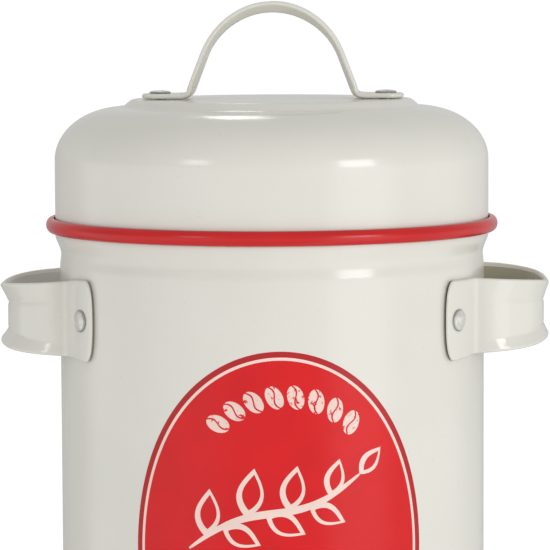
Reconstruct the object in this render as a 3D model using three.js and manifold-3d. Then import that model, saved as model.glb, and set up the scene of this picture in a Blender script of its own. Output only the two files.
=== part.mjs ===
// Coffee tin with a lift-off domed lid: a three.js model in millimetres, +Z up.
// The origin is at the middle of the base, on the surface that the tin stands on.
// The front faces -Y, and the two carrying handles stand out along +X and -X.

import * as THREE from 'three';
import { mergeVertices } from 'three/addons/utils/BufferGeometryUtils.js';
import Module from 'manifold-3d';

// Sheet and clearances
const sheet = 0.5; // enamelled sheet of the wall, the base and the lid
const gap = 0.3; // left between any two pieces that touch
const lidClearance = 0.7; // radial play of the lid's skirt on the neck

// Body
const bodyRadius = 57.5; // outside of the wall
const seatHeight = 158.2; // widest line of the stop bead, which the lid's rim rests on
const beadDepth = 1.3; // how far the stop bead stands out of the wall
const beadRamp = 5.5; // height of the slope below the bead's widest line
const beadCrown = 1.0; // height of the round above it
const grooveDepth = 0.3; // shallow groove at the foot of that slope
const grooveSlope = 2.2; // height from the groove's deepest line down to the plain wall
const neckHeight = 14.5; // from the seat up to the mouth
const mouthCurlRadius = 1.3;
const mouthCurlTurn = 220; // degrees that the mouth's curl goes round
const seamRibWidth = 5; // folded side seam, on the inside at the back
const seamRibDepth = 0.8;

// Base
const seamReach = 1.6; // how far the bottom seam stands out of the wall
const floorHeight = 4; // inside floor of the tin above the surface it stands on
const seamRound = 0.5;
const floorRingRadius = 40; // stiffening ring pressed up in the floor
const floorRingWidth = 6;
const floorRingHeight = 0.8;

// Lid
const rimHeight = 3.9; // rolled edge of the skirt
const rimReach = 3; // from the skirt's inner face to the outside of the rolled edge
const rimOpenAngle = 65; // degrees left open between the rolled edge's lip and the skirt
const skirtHeight = 17.4; // from the middle of the rolled edge up to the shoulder
const shoulderRise = 14.2;
const stepHeight = 2;
const stepSlope = 2.6; // width of the slope round the flat top
const topMargin = 2.5; // flat top left outside the ends of the lid handle

// Lid handle
const strapSheet = 1.2; // sheet of all three handles
const lidHandleRise = 26.4; // from the flat top to the top of the handle
const lidArchRadius = 19.5; // middle of the strap in the arch
const lidLegLean = 21; // degrees from upright
const lidFootBend = 2;
const lidStrapWidth = 13; // at the top of the arch
const lidFootWidth = 16;
const lidLipHeight = 2; // how far the strap's edges are turned out at the top
const lidLegLip = 0.9; // the same along the legs
const lidRivetInset = 4.9; // from the end of the foot to the rivet

// Side handles
const handleDrop = 21.4; // from the seat down to the middle of the handle
const gripDepth = 15.4; // from the wall to the middle of the strap
const gripHalfWidth = 22.4; // half of the loop's width, at the middle of the strap
const handleBend = 2.5; // radius of the bend between tab and loop
const tabLength = 13.7; // stretch that hugs the wall
const tabWidth = 22;
const tabCorner = 5.5;
const loopWidth = 15; // strap width at the outermost point, tapering evenly from the tabs
const sideRivetInset = 5.2; // from the end of the tab to the rivet
const lipWidth = 4;
const lipHeight = 1.7; // how far the strap's edges are turned out

// Rivets
const rivetHeadRadius = 3;
const rivetHeadHeight = 1;
const rivetShankRadius = 1.6;
const rivetTailRadius = 2.5;
const rivetTailHeight = 0.9;

// Fineness
const turnSteps = 48; // round the tin
const rivetSteps = 12;
const bendSteps = 4; // along a rounded corner of a profile
const roundSteps = 3; // along the small rounds of the bottom seam
const curlSteps = 6; // along the mouth's curl
const rimSteps = 8; // along the lid's rolled edge
const shoulderSteps = 7; // along the lid's shoulder
const strapRows = 6; // across a strap
const strapPitch = 2.4; // along a strap

// Derived sizes
const innerRadius = bodyRadius - sheet;
const mouthHeight = seatHeight + neckHeight;
const skirtInner = bodyRadius + lidClearance;
const skirtOuter = skirtInner + sheet;
const rimCentreRadius = skirtInner + rimReach / 2;
const rimCentreHeight = seatHeight + gap + rimHeight / 2;
const shoulderHeight = rimCentreHeight + skirtHeight;
const topHeight = shoulderHeight + shoulderRise + stepHeight;
const handleHeight = seatHeight - handleDrop;
const rivetHoleRadius = rivetShankRadius + gap;
const strapHalf = strapSheet / 2;
const facetSag = bodyRadius * (1 - Math.cos(Math.PI / turnSteps)); // of the wall's flats

const wasm = await Module();
wasm.setup();

// ---------------------------------------------------------------- geometry helpers

const degrees = THREE.MathUtils.degToRad;
const smooth = (x, low, high) => THREE.MathUtils.smoothstep(x, low, high);

// Points on an ellipse from one angle to another, angles in degrees from the radial axis.
function arcPoints(radius, height, reach, rise, from, to, steps = bendSteps) {
  const points = [];
  for (let i = 0; i <= steps; i += 1) {
    const angle = degrees(from + ((to - from) * i) / steps);
    points.push(new THREE.Vector2(radius + reach * Math.cos(angle), height + rise * Math.sin(angle)));
  }
  return points;
}

const at = (radius, height) => new THREE.Vector2(radius, height);

// Merges shared vertices and drops the triangles that collapse on the axis.
function weld(geometry) {
  const bare = geometry.clone();
  bare.deleteAttribute('normal');
  bare.deleteAttribute('uv');
  const merged = mergeVertices(bare);
  const kept = [];
  for (let i = 0; i < merged.index.count; i += 3) {
    const [a, b, c] = [0, 1, 2].map((k) => merged.index.getX(i + k));
    if (a !== b && b !== c && c !== a) kept.push(a, b, c);
  }
  merged.setIndex(kept);
  return merged;
}

// Turns a profile of (radius, height) points about the Z axis. The profile runs down its
// outside, and back up its inside or along the axis.
function turned(profile, steps = turnSteps) {
  return weld(new THREE.LatheGeometry([...profile].reverse(), steps).rotateX(Math.PI / 2));
}

function closed(profile) {
  return [...profile, profile[0].clone()];
}

function toManifold(geometry) {
  const welded = weld(geometry);
  const mesh = new wasm.Mesh({
    numProp: 3,
    vertProperties: Float32Array.from(welded.attributes.position.array),
    triVerts: Uint32Array.from(welded.index.array),
  });
  return new wasm.Manifold(mesh);
}

function fromManifold(solid) {
  const mesh = solid.getMesh();
  const geometry = new THREE.BufferGeometry();
  geometry.setAttribute('position', new THREE.BufferAttribute(mesh.vertProperties, 3));
  geometry.setIndex(new THREE.BufferAttribute(mesh.triVerts, 1));
  return geometry;
}

// Cuts the tools out of a geometry, after adding the extra pieces to it.
function shaped(geometry, tools, extras = []) {
  const joined = extras.reduce((solid, extra) => solid.add(toManifold(extra)), toManifold(geometry));
  return fromManifold(tools.reduce((solid, tool) => solid.subtract(toManifold(tool)), joined));
}

// A drill of the rivets' hole size, along +Z through the origin.
function drill() {
  const length = 8 * (sheet + strapSheet);
  const cylinder = new THREE.CylinderGeometry(rivetHoleRadius, rivetHoleRadius, length, rivetSteps);
  return cylinder.rotateX(Math.PI / 2);
}

// ---------------------------------------------------------------- body and base

// Wall with its bottom flange, stop bead, straight neck and a mouth curled inwards.
function wallProfile() {
  const flangeLow = sheet + gap;
  const flangeHigh = flangeLow + 2 * sheet;
  const flangeRadius = bodyRadius + seamReach - sheet - gap;
  const curlRadius = bodyRadius - mouthCurlRadius;
  const curlHeight = mouthHeight - mouthCurlRadius;
  const bead = (inset) => {
    const foot = at(bodyRadius - inset, seatHeight - beadRamp - grooveSlope);
    const ramp = [0, 0.25, 0.5, 0.75].map((share) => {
      const depth = (beadDepth + grooveDepth) * smooth(share, 0, 1) - grooveDepth;
      return at(bodyRadius - inset + depth, seatHeight - beadRamp * (1 - share));
    });
    const crown = arcPoints(bodyRadius - inset, seatHeight, beadDepth, beadCrown, 0, 90);
    return [foot, ...ramp, ...crown];
  };
  const curl = (radius, from, to) => arcPoints(curlRadius, curlHeight, radius, radius, from, to, curlSteps);
  return closed([
    ...curl(mouthCurlRadius, mouthCurlTurn, 0),
    ...bead(0).reverse(),
    at(bodyRadius, flangeHigh),
    at(flangeRadius, flangeHigh),
    at(flangeRadius, flangeLow),
    at(innerRadius, flangeLow),
    ...bead(sheet),
    ...curl(mouthCurlRadius - sheet, 0, mouthCurlTurn),
  ]);
}

// Inside fold of the side seam, from above the floor to below the stop bead.
function seamRib() {
  const halfAngle = Math.asin(seamRibWidth / 2 / innerRadius);
  const low = floorHeight + gap;
  const high = seatHeight - beadRamp - grooveSlope;
  const outline = new THREE.Shape();
  outline.absarc(0, 0, innerRadius + sheet / 2, Math.PI / 2 - halfAngle, Math.PI / 2 + halfAngle, false);
  outline.absarc(0, 0, innerRadius - seamRibDepth, Math.PI / 2 + halfAngle, Math.PI / 2 - halfAngle, true);
  const depth = high - low;
  const rib = new THREE.ExtrudeGeometry(outline, { depth, bevelEnabled: false, curveSegments: 2 });
  return rib.translate(0, 0, low);
}

// Pressed base whose edge is clinched round the wall's bottom flange.
function baseProfile() {
  const chuckOuter = innerRadius - gap;
  const chuckInner = chuckOuter - sheet;
  const hookOuter = bodyRadius + seamReach;
  const hookInner = hookOuter - sheet;
  const hookEnd = bodyRadius + gap;
  const hookLow = 3 * sheet + 2 * gap;
  const hookHigh = hookLow + sheet;
  const ring = (height) => {
    const low = floorRingRadius - floorRingWidth / 2;
    const high = floorRingRadius + floorRingWidth / 2;
    const slope = 2 * floorRingHeight;
    return [
      at(low, height),
      at(low + slope, height + floorRingHeight),
      at(high - slope, height + floorRingHeight),
      at(high, height),
    ];
  };
  return [
    at(0, floorHeight),
    ...ring(floorHeight),
    ...arcPoints(chuckOuter - seamRound, floorHeight - seamRound, seamRound, seamRound, 90, 0, roundSteps),
    at(chuckOuter, sheet),
    at(hookInner, sheet),
    at(hookInner, hookLow),
    at(hookEnd, hookLow),
    at(hookEnd, hookHigh),
    ...arcPoints(hookOuter - seamRound, hookHigh - seamRound, seamRound, seamRound, 90, 0, roundSteps),
    ...arcPoints(hookOuter - seamRound, seamRound, seamRound, seamRound, 0, -90, roundSteps),
    ...arcPoints(chuckInner + seamRound, seamRound, seamRound, seamRound, 270, 180, roundSteps),
    at(chuckInner, floorHeight - sheet),
    ...ring(floorHeight - sheet).reverse(),
    at(0, floorHeight - sheet),
  ];
}

// ---------------------------------------------------------------- straps

// Bends a flat strap along a plan path. place() puts a path point and a distance across
// the strap into space; width() and lip() give the strap's width and how far its edges
// are turned out at a distance along the path.
function bentStrap(path, { place, width, lip }) {
  const length = path.getLength();
  const steps = Math.round(length / strapPitch);
  const strap = new THREE.BoxGeometry(1, 1, 1, steps, 1, strapRows);
  const position = strap.attributes.position;
  for (let i = 0; i < position.count; i += 1) {
    const share = position.getX(i) + 0.5;
    const along = share * length;
    const half = width(along) / 2;
    const across = -2 * position.getZ(i) * half;
    const turnedOut = lip(along) * smooth(Math.abs(across), half - lipWidth, half);
    const offset = position.getY(i) * strapSheet + turnedOut;
    const point = path.getPoint(share);
    const tangent = path.getTangent(share);
    point.add(at(tangent.y, -tangent.x).multiplyScalar(offset));
    const placed = place(point, across);
    position.setXYZ(i, placed.x, placed.y, placed.z);
  }
  return strap;
}

// Width of a strap end with rounded corners, at a distance from the end.
function endWidth(fromEnd, fullWidth, corner) {
  const missing = Math.max(corner - fromEnd, 0);
  return fullWidth - 2 * (corner - Math.sqrt(corner * corner - missing * missing));
}

// ---------------------------------------------------------------- side handles

const tabRadius = bodyRadius + gap + strapHalf; // middle of the tab's sheet
const bendCentre = tabRadius + handleBend;
const bendAngle = Math.acos((gripHalfWidth + handleBend) / bendCentre); // from the front
const tabAngle = bendAngle - tabLength / tabRadius;
const rivetAngle = tabAngle + sideRivetInset / tabRadius;

// Plan of the right handle's strap, from its front tab round to its back tab.
function handlePath() {
  const quarter = Math.PI / 2;
  const bendX = bendCentre * Math.sin(bendAngle);
  const bendY = gripHalfWidth + handleBend;
  const reach = bodyRadius + gripDepth - bendX;
  const path = new THREE.Path();
  path.absarc(0, 0, tabRadius, tabAngle - quarter, bendAngle - quarter, false);
  path.absarc(bendX, -bendY, handleBend, bendAngle + quarter, quarter, true);
  path.absellipse(bendX, 0, reach, gripHalfWidth, -quarter, quarter, false);
  path.absarc(bendX, bendY, handleBend, -quarter, -quarter - bendAngle, true);
  path.absarc(0, 0, tabRadius, quarter - bendAngle, quarter - tabAngle, false);
  return path;
}

// Angles round the tin of the four side rivets, from the front towards +X.
const sideRivets = [
  ['rivet_right_front', rivetAngle],
  ['rivet_right_back', Math.PI - rivetAngle],
  ['rivet_left_back', Math.PI + rivetAngle],
  ['rivet_left_front', -rivetAngle],
];

// Turns a piece that points along +Z so that it points out of the wall at an angle.
function outOfWall(object, angle, radius) {
  const outward = new THREE.Vector3(Math.sin(angle), -Math.cos(angle), 0);
  object.quaternion.setFromUnitVectors(new THREE.Vector3(0, 0, 1), outward);
  object.position.copy(outward).multiplyScalar(radius).setZ(handleHeight);
  object.updateMatrix();
  return object;
}

function sideDrills(rivets) {
  return rivets.map(([, angle]) => {
    const place = outOfWall(new THREE.Object3D(), angle, bodyRadius);
    return drill().applyMatrix4(place.matrix);
  });
}

function sideHandle() {
  const path = handlePath();
  const length = path.getLength();
  const loopStart = tabLength + handleBend * bendAngle;
  const fromNearEnd = (along) => Math.min(along, length - along);
  const strap = bentStrap(path, {
    place: (point, across) => new THREE.Vector3(point.x, point.y, handleHeight + across),
    width: (along) => {
      const end = fromNearEnd(along);
      return endWidth(end, tabWidth, tabCorner) - ((tabWidth - loopWidth) * 2 * end) / length;
    },
    lip: (along) => lipHeight * smooth(fromNearEnd(along), tabLength, loopStart + lipWidth * 4),
  });
  return shaped(strap, sideDrills(sideRivets.slice(0, 2)));
}

// ---------------------------------------------------------------- lid

const footHeight = topHeight + gap + strapHalf; // middle of the foot's sheet
const archCentre = topHeight + lidHandleRise - lidLipHeight - strapHalf - lidArchRadius;
const legTurn = degrees(90 - lidLegLean); // arch angle from its top to each leg
const legTop = at(lidArchRadius * Math.sin(legTurn), archCentre + lidArchRadius * Math.cos(legTurn));
const legDrop = legTop.y - footHeight - lidFootBend * (1 - Math.cos(legTurn));
const footBendX = legTop.x + legDrop / Math.tan(legTurn) + lidFootBend * Math.sin(legTurn);
const lidRivetX = footBendX + rivetHeadRadius + 2 * lidFootBend;
const footEnd = lidRivetX + lidRivetInset;
const flatRadius = footEnd + topMargin;
const stepRadius = flatRadius + stepSlope;

// Dome with its stepped flat top, straight skirt and edge rolled outwards.
function lidProfile() {
  const rolled = (inset, from, to) => {
    const [reach, rise] = [rimReach / 2 - inset, rimHeight / 2 - inset];
    return arcPoints(rimCentreRadius, rimCentreHeight, reach, rise, from, to, rimSteps);
  };
  const shoulder = (inset, from, to) => {
    const reach = skirtOuter - stepRadius - inset;
    return arcPoints(stepRadius, shoulderHeight, reach, shoulderRise - inset, from, to, shoulderSteps);
  };
  const step = (inset) => [
    at(flatRadius - 1, topHeight - inset),
    at(flatRadius, topHeight - inset - 0.2 * stepHeight),
    at(flatRadius + 0.65 * stepSlope, topHeight - inset - 0.85 * stepHeight),
  ];
  const lipEnd = 180 - rimOpenAngle;
  return [
    at(0, topHeight),
    ...step(0),
    ...shoulder(0, 90, 0),
    ...rolled(sheet, -180, lipEnd),
    ...rolled(0, lipEnd, -180),
    ...shoulder(sheet, 0, 90),
    ...step(sheet).reverse(),
    at(0, topHeight - sheet),
  ];
}

// Side view of the lid handle, from the end of its right foot over to the left one.
function lidHandlePath() {
  const bendZ = footHeight + lidFootBend;
  const legEnd = at(footBendX - lidFootBend * Math.sin(legTurn), bendZ - lidFootBend * Math.cos(legTurn));
  const path = new THREE.Path();
  path.moveTo(footEnd, footHeight);
  path.lineTo(footBendX, footHeight);
  path.absarc(footBendX, bendZ, lidFootBend, -Math.PI / 2, -Math.PI / 2 - legTurn, true);
  path.lineTo(legTop.x, legTop.y);
  path.absarc(0, archCentre, lidArchRadius, Math.PI / 2 - legTurn, Math.PI / 2 + legTurn, false);
  path.lineTo(-legEnd.x, legEnd.y);
  path.absarc(-footBendX, bendZ, lidFootBend, legTurn - Math.PI / 2, -Math.PI / 2, true);
  path.lineTo(-footEnd, footHeight);
  return path;
}

function lidDrills() {
  return [lidRivetX, -lidRivetX].map((x) => drill().translate(x, 0, topHeight));
}

function lidHandle() {
  const path = lidHandlePath();
  const length = path.getLength();
  const footLength = footEnd - footBendX;
  const archStart = footLength + lidFootBend * legTurn + legDrop / Math.sin(legTurn);
  const fromNearEnd = (along) => Math.min(along, length - along);
  const strap = bentStrap(path, {
    place: (point, across) => new THREE.Vector3(point.x, -across, point.y),
    width: (along) => {
      const end = fromNearEnd(along);
      const waist = (lidFootWidth - lidStrapWidth) * smooth(end, footLength, length / 2);
      return endWidth(end, lidFootWidth, lidFootWidth / 2 - sheet) - waist;
    },
    lip: (along) => {
      const end = fromNearEnd(along);
      const full = lidLegLip + (lidLipHeight - lidLegLip) * smooth(end, archStart, length / 2);
      return full * smooth(end, footLength - lidFootBend, footLength + 2 * lidFootBend);
    },
  });
  return shaped(strap, lidDrills());
}

// ---------------------------------------------------------------- rivets

// Rivet along +Z, head up, through a strap and the sheet under it. The strap's outer face is
// at the origin, and slack is how much further down than a flat sheet the tail has to lie.
function rivet(slack) {
  const tailTop = -strapSheet - gap - sheet - gap - slack;
  const tailLow = tailTop - rivetTailHeight;
  return turned([
    at(0, gap + rivetHeadHeight),
    ...arcPoints(0, gap, rivetHeadRadius, rivetHeadHeight, 60, 0, 4),
    at(rivetShankRadius, gap),
    at(rivetShankRadius, tailTop),
    at(rivetTailRadius, tailTop),
    at(0.7 * rivetTailRadius, tailLow),
    at(0, tailLow),
  ], rivetSteps);
}

// ---------------------------------------------------------------- assembly

const enamel = () => new THREE.MeshStandardMaterial({ color: '#ddd9cd', roughness: 0.28, metalness: 0 });
const plated = () => new THREE.MeshStandardMaterial({ color: '#c3c4bd', roughness: 0.35, metalness: 0.7 });

function named(name, geometry, material) {
  const mesh = new THREE.Mesh(geometry, material);
  mesh.name = name;
  return mesh;
}

function buildBody() {
  const body = new THREE.Group();
  body.add(named('body_wall', shaped(turned(wallProfile()), sideDrills(sideRivets), [seamRib()]), enamel()));
  body.add(named('base_panel', turned(baseProfile()), enamel()));
  const right = named('handle_right', sideHandle(), enamel());
  const left = named('handle_left', sideHandle(), enamel());
  left.rotation.z = Math.PI;
  body.add(right, left);
  for (const [name, angle] of sideRivets) {
    body.add(outOfWall(named(name, rivet(facetSag), plated()), angle, tabRadius + strapHalf));
  }
  return body;
}

function buildLid() {
  const lid = new THREE.Group();
  lid.add(named('lid_shell', shaped(turned(lidProfile()), lidDrills()), enamel()));
  lid.add(named('lid_handle', lidHandle(), enamel()));
  for (const [name, x] of [['lid_rivet_right', lidRivetX], ['lid_rivet_left', -lidRivetX]]) {
    const piece = named(name, rivet(0), plated());
    piece.position.set(x, 0, footHeight + strapHalf);
    lid.add(piece);
  }
  return lid;
}

const group = new THREE.Group();
group.add(buildBody(), buildLid());

export default group;
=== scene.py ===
import math

import bmesh
import bpy
from mathutils import Matrix, Vector


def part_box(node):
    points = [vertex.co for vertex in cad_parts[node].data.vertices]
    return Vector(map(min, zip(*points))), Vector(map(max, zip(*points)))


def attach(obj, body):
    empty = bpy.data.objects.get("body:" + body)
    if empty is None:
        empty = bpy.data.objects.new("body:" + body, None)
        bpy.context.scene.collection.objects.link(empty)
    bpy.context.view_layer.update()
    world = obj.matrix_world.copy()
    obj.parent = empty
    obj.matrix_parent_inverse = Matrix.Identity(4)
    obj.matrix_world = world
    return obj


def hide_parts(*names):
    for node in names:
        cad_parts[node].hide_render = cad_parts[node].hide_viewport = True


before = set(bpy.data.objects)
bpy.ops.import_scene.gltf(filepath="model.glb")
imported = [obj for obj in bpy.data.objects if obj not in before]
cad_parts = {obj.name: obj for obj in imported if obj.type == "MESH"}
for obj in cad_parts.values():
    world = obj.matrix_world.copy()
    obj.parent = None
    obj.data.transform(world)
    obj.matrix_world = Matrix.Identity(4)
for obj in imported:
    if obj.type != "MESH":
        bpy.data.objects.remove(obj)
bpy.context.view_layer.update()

MM = 0.001

# ---------------------------------------------------------------- sizes

# Sheet and clearances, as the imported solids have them
SHEET = 0.5 * MM
STRAP_SHEET = 1.2 * MM
GAP = 0.3 * MM

wall_low, wall_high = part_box("body_wall")
base_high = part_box("base_panel")[1]
lid_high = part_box("lid_shell")[1]
handle_low, handle_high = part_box("handle_right")
lid_handle_low, lid_handle_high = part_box("lid_handle")
side_rivet_low, side_rivet_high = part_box("rivet_right_front")
lid_rivet_low, lid_rivet_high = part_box("lid_rivet_right")

# Body
BEAD_DEPTH = 1.3 * MM
WALL_RADIUS = wall_high.x - BEAD_DEPTH
INNER_RADIUS = WALL_RADIUS - SHEET
MOUTH_HEIGHT = wall_high.z
NECK_HEIGHT = 14.5 * MM
SEAT_HEIGHT = MOUTH_HEIGHT - NECK_HEIGHT
FLANGE_TOP = 1.8 * MM
BEAD_RAMP = 5.5 * MM
BEAD_CROWN = 1.0 * MM
GROOVE_DEPTH = 0.3 * MM
GROOVE_SLOPE = 2.2 * MM
MOUTH_CURL = 1.3 * MM

# Folded side seam at the back of the body: outside, then inside
SEAM_HALF = 2.6 * MM
SEAM_PROUD = 0.22 * MM
SEAM_EDGE = 0.3 * MM
SEAM_LINE_WIDTH = 0.5 * MM
SEAM_LINE_DEPTH = 0.25 * MM
SEAM_INNER_HALF = 2.5 * MM
SEAM_INNER_EDGE = 0.5 * MM
SEAM_INNER_PROUD = 0.7 * MM
SEAM_FOOT = 6.0 * MM
SEAM_FADE = 3.0 * MM

# Base
SEAM_RADIUS = base_high.x
SEAM_HEIGHT = 2.6 * MM
SEAM_BEND = 0.9 * MM
HOOK_TIP = 0.25 * MM
FLOOR_HEIGHT = 4.0 * MM
FLOOR_RING = (37 * MM, 43 * MM)
FLOOR_RING_SLOPE = 2 * MM
FLOOR_RING_HEIGHT = base_high.z - FLOOR_HEIGHT

# Lid
RIM_RADIUS = lid_high.x
RIM_HEIGHT = 3.9 * MM
RIM_REACH = 3.0 * MM
SKIRT_INNER = RIM_RADIUS - RIM_REACH
SKIRT_OUTER = SKIRT_INNER + SHEET
RIM_CENTRE = Vector((SKIRT_INNER + RIM_REACH / 2, SEAT_HEIGHT + GAP + RIM_HEIGHT / 2))
LID_TOP = lid_high.z
SHOULDER_RISE = 14.2 * MM
STEP_HEIGHT = 2.0 * MM
STEP_SLOPE = 2.6 * MM
STEP_ROUND = 0.9 * MM
FLAT_MARGIN = 2.5 * MM
SHOULDER_HEIGHT = LID_TOP - STEP_HEIGHT - SHOULDER_RISE
FLAT_RADIUS = lid_handle_high.x + FLAT_MARGIN
STEP_RADIUS = FLAT_RADIUS + STEP_SLOPE

# Side handles. The straps are bent by hand, so the two differ a little. LIP_WIDTH is for the
# upper and the lower edge; INNER_BAND is the band along the inner face's edges that its painted
# shade leaves out; the last number is how far the painted shadow round a tab's cut end reaches.
HANDLE_HEIGHT = (handle_low.z + handle_high.z) / 2
TAB_WIDTH = handle_high.z - handle_low.z
TAB_RADIUS = WALL_RADIUS + GAP + STRAP_SHEET / 2
TAB_LENGTH = 13.7 * MM
BEND_RADIUS = 2.5 * MM
GRIP_HALF_WIDTH = 22.4 * MM
GRIP_DEPTH = {"right": 15.7 * MM, "left": 13.8 * MM}
STRAP_WIDTH = {"right": 21.4 * MM, "left": 22.0 * MM}
LOOP_WIDTH = {"right": 14.7 * MM, "left": 15.3 * MM}
TAPER_EASE = {"right": 1.5, "left": 1.15}
LOOP_LIFT = {"right": 0.35 * MM, "left": -0.3 * MM}
BACK_LIFT = {"right": 0.8 * MM, "left": 0.2 * MM}
LIP_HEIGHT = {"right": 1.5 * MM, "left": 2.3 * MM}
LIP_WIDTH = {1: 5.0 * MM, -1: 3.5 * MM}
LIP_RUN = 16 * MM
TAB_ROUND = 3.8 * MM
INNER_BAND = 1.6 * MM
END_SHADOW_REACH = 0.34 * MM

# Every strap: mesh step, depth of the line along a lip's crease, and that line's width as a
# share of the lip's
STRAP_STEP = 0.7 * MM
LIP_LINE = 0.24 * MM
LIP_LINE_SHARE = 0.13
CORNER_POWER = 2.6

# Lid handle
LID_STRAP_WIDTH = 13.5 * MM
LID_FOOT_WIDTH = lid_handle_high.y - lid_handle_low.y
LID_LIP_HEIGHT = 2.0 * MM
LID_LEG_LIP = 0.9 * MM
LID_LIP_WIDTH = 3.6 * MM
LID_FOOT_ROUND = 5.5 * MM
LEG_TURN = math.radians(69)
FOOT_BEND = 2.0 * MM
ARCH_RADIUS = 19.5 * MM
FOOT_HEIGHT = lid_handle_low.z + STRAP_SHEET / 2
ARCH_LIFT = 0.25 * MM
ARCH_CENTRE = lid_handle_high.z + ARCH_LIFT - LID_LIP_HEIGHT - STRAP_SHEET / 2 - ARCH_RADIUS
LID_HANDLE_SHIFT = 0.45 * MM
FOOT_END = lid_handle_high.x

# Rivets
HEAD_RADIUS = 2.95 * MM
HEAD_HEIGHT = 0.8 * MM
HEAD_BRIM = 0.22 * MM
# Beyond this share of the head's radius, the brim takes a darker metal as painted shade
DARK_BRIM_SHARE = 0.88
SHANK_RADIUS = 1.6 * MM
TAIL_RADIUS = 2.5 * MM
TAIL_HEIGHT = 0.85 * MM
TAIL_ROUND = 0.3 * MM

# Print on the wall, centred between the lid's rim and the base. The loops that are drawn
# on it are in plain millimetres.
PRINT_TURN = math.radians(3.25)
PRINT_HALF_WIDTH = 39.7 * MM
PRINT_HALF_HEIGHT = 52.2 * MM
PRINT_HEIGHT = 79.2 * MM
PRINT_LIFT = 0.03 * MM
PRINT_INSET = 1.9
PRINT_LINE = 0.78
STEM_START = (-24, 1)
STEM_RUN = 45
STEM_RISE = 19
STEM_WAVE = 2.2
BRUSH = 1.15

TURN_STEPS = 288
WALL_STEPS = 576


# ---------------------------------------------------------------- mesh helpers


def arc(centre, reach, rise, start, end, steps):
    """Points on an ellipse in the (radius, height) plane, angles in degrees."""
    points = []
    for i in range(steps + 1):
        angle = math.radians(start + (end - start) * i / steps)
        points.append((centre[0] + reach * math.cos(angle), centre[1] + rise * math.sin(angle)))
    return points


def smoothstep(x, low, high):
    t = min(max((x - low) / (high - low), 0.0), 1.0)
    return t * t * (3 - 2 * t)


def new_object(name, verts, faces, material, sharp=35, marks=None):
    """A smooth-shaded mesh object with merged doubles and faces that point out. marks
    gives each face's material index."""
    mesh = bpy.data.meshes.new(name)
    mesh.from_pydata([tuple(v) for v in verts], [], faces)
    if marks:
        mesh.polygons.foreach_set("material_index", marks)
    bm = bmesh.new()
    bm.from_mesh(mesh)
    bmesh.ops.remove_doubles(bm, verts=bm.verts, dist=0.002 * MM)
    bmesh.ops.dissolve_degenerate(bm, edges=bm.edges, dist=0.0001 * MM)
    bmesh.ops.recalc_face_normals(bm, faces=bm.faces)
    bm.to_mesh(mesh)
    bm.free()
    for polygon in mesh.polygons:
        polygon.use_smooth = True
    mesh.set_sharp_from_angle(angle=math.radians(sharp))
    mesh.materials.append(material)
    obj = bpy.data.objects.new(name, mesh)
    bpy.context.scene.collection.objects.link(obj)
    return obj


def turned(name, profile, material, steps=TURN_STEPS, relief=None, closed=True):
    """A profile of (radius, height) points turned about Z. relief(angle, radius, height)
    moves a point in or out along its radius."""
    verts, faces = [], []
    count = len(profile)
    for i in range(steps):
        angle = 2 * math.pi * i / steps
        for radius, height in profile:
            r = radius + (relief(angle, radius, height) if relief and radius > 0 else 0)
            verts.append((r * math.sin(angle), -r * math.cos(angle), height))
    for i in range(steps):
        here, there = i * count, ((i + 1) % steps) * count
        for j in range(count if closed else count - 1):
            k = (j + 1) % count
            faces.append((here + j, here + k, there + k, there + j))
    return new_object(name, verts, faces, material)


def spaced(length, step, edge):
    """Distances from 0 to length: closer together over the first and last edge."""
    fine_steps = 6
    fine = [edge * (1 - math.cos(math.pi / 2 * i / fine_steps)) for i in range(fine_steps)]
    inner = length - 2 * edge
    count = max(2, round(inner / step))
    middle = [edge + inner * i / count for i in range(count + 1)]
    return fine + middle + [length - d for d in reversed(fine)]


class Route:
    """A plane route made of arcs and lines, sampled finely and read by distance."""

    def __init__(self, points):
        self.points = [Vector(p) for p in points]
        self.marks = [0.0]
        for a, b in zip(self.points, self.points[1:]):
            self.marks.append(self.marks[-1] + (b - a).length)
        self.length = self.marks[-1]

    def at(self, distance):
        low, high = 0, len(self.marks) - 1
        while high - low > 1:
            middle = (low + high) // 2
            if self.marks[middle] <= distance:
                low = middle
            else:
                high = middle
        span = self.marks[high] - self.marks[low]
        share = (distance - self.marks[low]) / span
        return self.points[low].lerp(self.points[high], share)

    def frame(self, distance):
        """The point there and the unit vector to the right of the route."""
        step = 0.15 * MM
        before = self.at(max(distance - step, 0))
        after = self.at(min(distance + step, self.length))
        along = (after - before).normalized()
        return self.at(distance), Vector((along.y, -along.x))


def crease(reach, softness=0.22):
    """Rises from 0 to 1 as reach does: flat at first, then straight after a soft crease."""
    reach = max(reach, 0.0)
    return (math.hypot(reach, softness) - softness) / (math.hypot(1, softness) - softness)


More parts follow.
